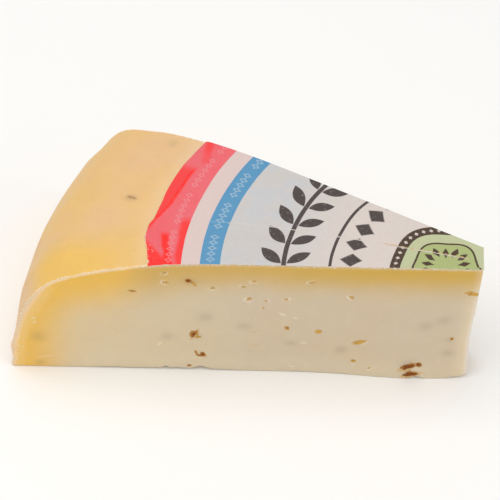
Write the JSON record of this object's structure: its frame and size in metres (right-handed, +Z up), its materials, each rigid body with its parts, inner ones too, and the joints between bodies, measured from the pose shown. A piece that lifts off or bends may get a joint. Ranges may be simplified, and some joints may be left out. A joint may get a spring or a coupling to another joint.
{
  "type": "cheese wedge",
  "caption": "Wedge cut from the upper half of a round, caraway-seeded cheese wheel, with a domed rind and a printed film label over the crown.",
  "frame": {"origin": "middle of the bounding box's footprint, on the surface that the wedge stands on", "axes": "+X along the front cut from the rind to the tip, +Y from the front cut to the back cut, +Z up through the crown"},
  "size_m": [0.1793, 0.0914, 0.0615],
  "materials": {
    "cheese": "firm pale cheese, semi-matte on the cuts and lightly waxy on the rind, amber just under the rind, with brown caraway seeds",
    "label": "thin printed film, satin to glossy: a red, a cream and a blue ring about a pale grey field with a green part at the tip"
  },
  "bodies": {
    "root": {"cheese": "cheese", "label": "label"}
  },
  "joints": []
}
